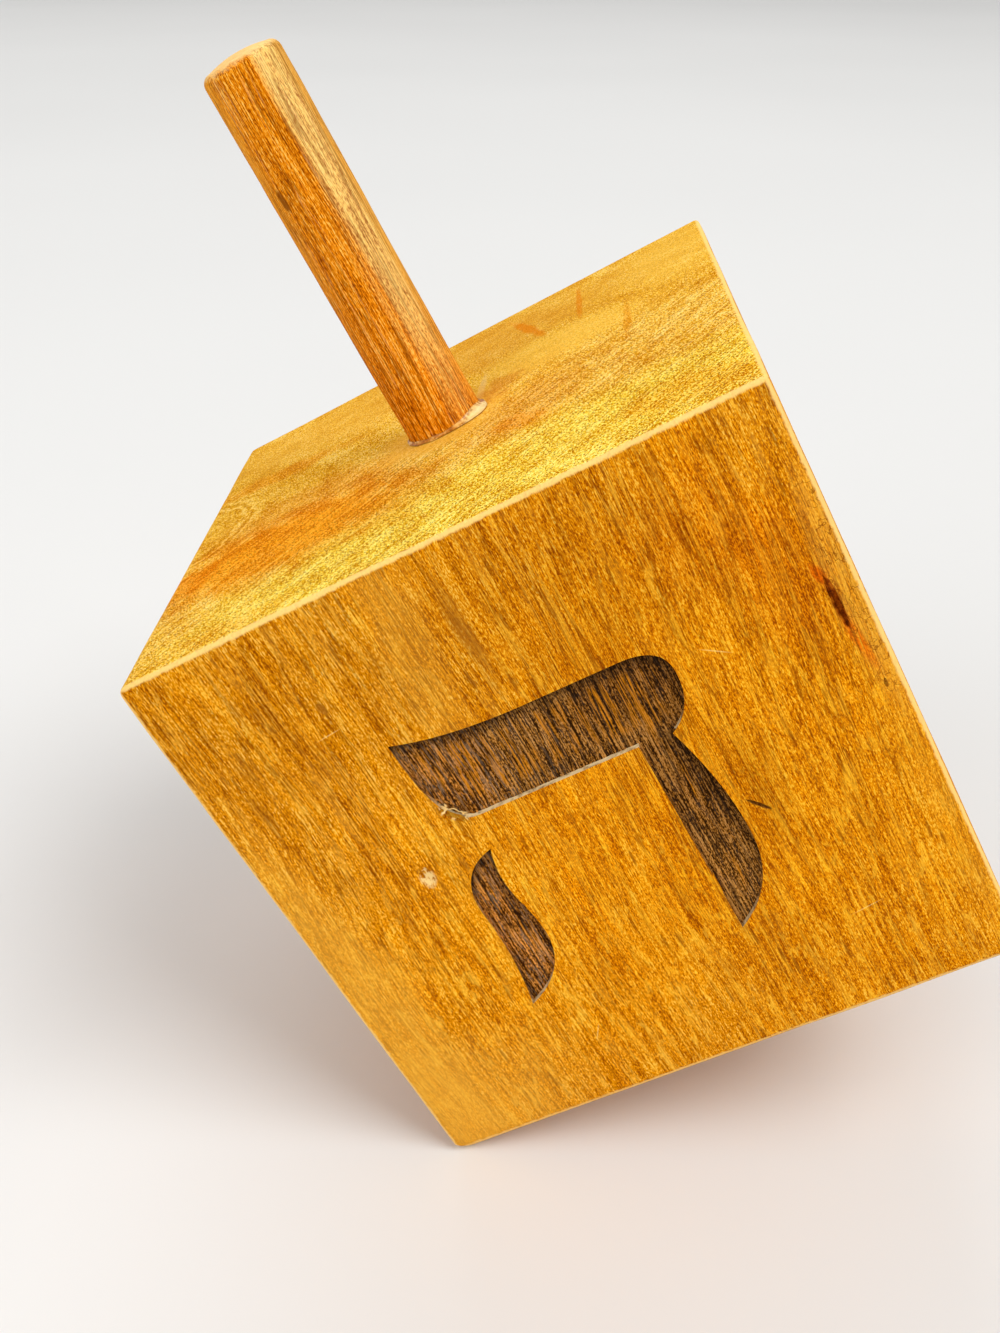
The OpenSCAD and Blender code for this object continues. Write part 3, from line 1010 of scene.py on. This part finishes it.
def handleFinish():
    material, wire = newFinish("streakedHandleWood")
    place = uprightPlace(wire)
    x, y, z = place.parts()
    sway = place.noise(*handleGrain["sway"])
    swayed = place.plus(wire.add("CombineXYZ", None, {"X": sway.swing(3), "Y": sway.swing(2)}))
    fibre = swayed.noise(*handleGrain["fibre"])
    thread = swayed.noise(*handleGrain["thread"])
    band = swayed.noise(*handleGrain["band"])
    pore = swayed.cells(handlePore).ease(0.24, 0.10) * fibre.ease(0.62, 0.40)
    fuzz = place.noise(*handleGrain["fuzz"])
    short = swayed.noise(*handleGrain["short"])
    tone = 0.49 + fibre.swing(1.0) + thread.swing(2.0) + short.swing(0.4) + fuzz.swing(1.7)
    colour = (tone + band.swing(0.4)).ramp(handleLook["stops"])

    # the pale side, beyond the seam, and painted rim light along both edges of the handle, on the left
    # growing towards the free end
    facing = math.radians(handleLook["facing"])
    across = x * math.cos(facing) + y * math.sin(facing)
    seam = (across + band.swing(3.0) + thread.swing(2.0)).ease(*handleLook["seam"])
    paleStreak = swayed.noise(*handleGrain["paleStreak"])
    paleTone = 0.5 + paleStreak.swing(1.3) + short.swing(0.4) + fuzz.swing(1.7)
    # painted rim light along the right edge
    pale = paleTone.ramp(handleLook["paleStops"]).tint(handleLook["golden"], across.ease(3.6, 4.5) * 0.7)
    colour = colour.tint(pale, seam * (z - topMm).ease(-6.0, 22.0))
    # painted rim light along the left edge, stronger towards the free end
    colour = colour.tint(handleLook["golden"], across.ease(-3.2, -4.8) * (z - topMm).ease(0.0, 40.0) * 0.5)

    # dark hairs in groups, with a light one beside each, and the line of the seam
    longGroup = swayed.noise(*handleGrain["longGroup"]).ease(0.42, 0.54)
    shortGroup = swayed.noise(*handleGrain["shortGroup"]).ease(0.46, 0.56)
    veinGroup = swayed.noise(*handleGrain["veinGroup"]).ease(0.40, 0.52)
    hair = swayed.lines(handleLines["longHair"], 0.50, 0.045) * longGroup
    hair = hair.most(swayed.lines(handleLines["shortHair"], 0.50, 0.060) * shortGroup)
    hair = hair.most(swayed.lines(handleLines["vein"], 0.50, 0.060) * veinGroup * seam)
    shine = swayed.lines(handleLines["longHair"], 0.59, 0.045) * longGroup
    fromSeam = abs(across + band.swing(2.0) + thread.swing(0.3) - handleLook["seam"][0])
    seamLine = fromSeam.ease(0.16, 0.04)
    colour = colour.tint(handleLook["worn"], shine * 0.22)
    colour = colour.tint(handleLook["pore"], (pore * 0.30).most(hair * 0.62).most(seamLine * 0.22))

    # a knot, and the free end rubbed pale
    fray = place.noise(*handleGrain["fray"])
    knot = oval(x, z - topMm, handleLook["knot"], 0.4, fray.swing(0.8)) * y.ease(0.0, -1.0)
    colour = colour.tint(handleLook["pore"], knot * 0.85)
    endMm = (gripStart + gripLen) * 1000
    worn = (z + fray.swing(0.9)).ease(endMm + 0.1, endMm + 0.9)
    colour = colour.tint(handleLook["worn"], worn * (0.5 + fray * 0.6))

    height = fibre * 0.5 + thread * 0.3 - pore * 0.8
    bump = wire.add("Bump", None, {"Height": height, **woodBump})
    rough = 0.55 + fibre.swing(0.3) + worn * 0.2
    coat = (0.05 + fibre.swing(0.09)) * (1 - worn)
    shade(wire, {"Base Color": colour, "Roughness": rough, "Coat Weight": coat, "Normal": bump, **satin})
    return material


glueLook = {
    "stops": [(0.25, (0.26, 0.070, 0.005)), (0.50, (0.52, 0.190, 0.020)), (0.75, (0.82, 0.460, 0.110))],
    "cream": (0.93, 0.700, 0.270, 1),
    "creamFrom": (4.4, 5.4),     # millimetres from the axis, towards the run
    "cloud": ((0.8, 0.8, 0.8), 3.0),
    "bump": {"Strength": 0.25, "Distance": 0.0002},
    "gloss": {"Specular IOR Level": 0.3},
}


def glueFinish():
    material, wire = newFinish("amberDriedGlue")
    place = uprightPlace(wire)
    x, y, _ = place.parts()
    cloud = place.noise(*glueLook["cloud"])
    colour = (0.5 + cloud.swing(1.6)).ramp(glueLook["stops"])
    run = math.radians(glueShape["blobTurn"])
    outward = x * math.cos(run) + y * math.sin(run)
    creamy = (outward + cloud.swing(2)).ease(*glueLook["creamFrom"])
    colour = colour.tint(glueLook["cream"], creamy * 0.85)
    bump = wire.add("Bump", None, {"Height": cloud, **glueLook["bump"]})
    rough = 0.16 + cloud * 0.2
    shade(wire, {"Base Color": colour, "Roughness": rough, "Normal": bump, **glueLook["gloss"]})
    return material


for piece, finish, node, slot in (
        (block, blockFinish, "block", "block_wood"),
        (handle, handleFinish, "handle", "handle_wood"),
        (glue, glueFinish, "glue", "dried_glue")):
    piece.data.materials.clear()
    piece.data.materials.append(finish())
    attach(piece, "root")
    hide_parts(node)
print("finishes set")

# the studio: a pale floor, soft light and the camera
studio = {
    "floorSize": 12.0,
    "floorStops": [(0.3, (0.74, 0.735, 0.72)), (0.7, (0.77, 0.765, 0.75))],
    "floorCloud": (0.6, 0.6, 0.6),
    "floorRoughness": 0.6,
    "cameraPlace": (-0.03291, -0.16911, 0.14263),
    "cameraTurn": (61.649, 0.043, 1.968),   # degrees
    "lens": 38.16,
    "sensor": 36,
    "clipStart": 0.01,
    "worldLight": 0.42,
    "aim": (-0.02, 0, 0.06),
    "lights": [  # place, size and strength of each soft light, all aimed at the middle of the block
        ((1.5, -1.1, 2.6), 2.0, 70.0),
        ((-2.0, -1.9, 1.8), 2.4, 38.0),
        ((-0.6, 2.2, 2.6), 2.2, 29.0),
    ],
}


def floorFinish():
    material, wire = newFinish("paleFloor")
    place = wire.add("TexCoord", out="Object")
    colour = place.noise(studio["floorCloud"]).ramp(studio["floorStops"])
    shade(wire, {"Base Color": colour, "Roughness": studio["floorRoughness"]})
    return material


def makeStudio():
    deselect()
    bpy.ops.mesh.primitive_plane_add(size=studio["floorSize"])
    floor = added("paleFloor")
    floor.data.materials.append(floorFinish())
    aim = Vector(studio["aim"])
    for place, size, strength in studio["lights"]:
        bpy.ops.object.light_add(type="AREA", location=place)
        light = bpy.context.object
        light.data.shape = "SQUARE"
        light.data.size = size
        light.data.energy = strength
        light.rotation_euler = (aim - Vector(place)).to_track_quat("-Z", "Y").to_euler()
    world = bpy.data.worlds.new("softSurround")
    world.use_nodes = True
    world.node_tree.nodes["Background"].inputs["Color"].default_value = (1, 1, 1, 1)
    world.node_tree.nodes["Background"].inputs["Strength"].default_value = studio["worldLight"]
    bpy.context.scene.world = world
    bpy.ops.object.camera_add(location=studio["cameraPlace"])
    camera = bpy.context.object
    camera.rotation_euler = [math.radians(turn) for turn in studio["cameraTurn"]]
    camera.data.lens = studio["lens"]
    camera.data.sensor_width = studio["sensor"]
    camera.data.clip_start = studio["clipStart"]
    bpy.context.scene.camera = camera
    bpy.context.scene.view_settings.view_transform = "Standard"


makeStudio()
print("studio set")
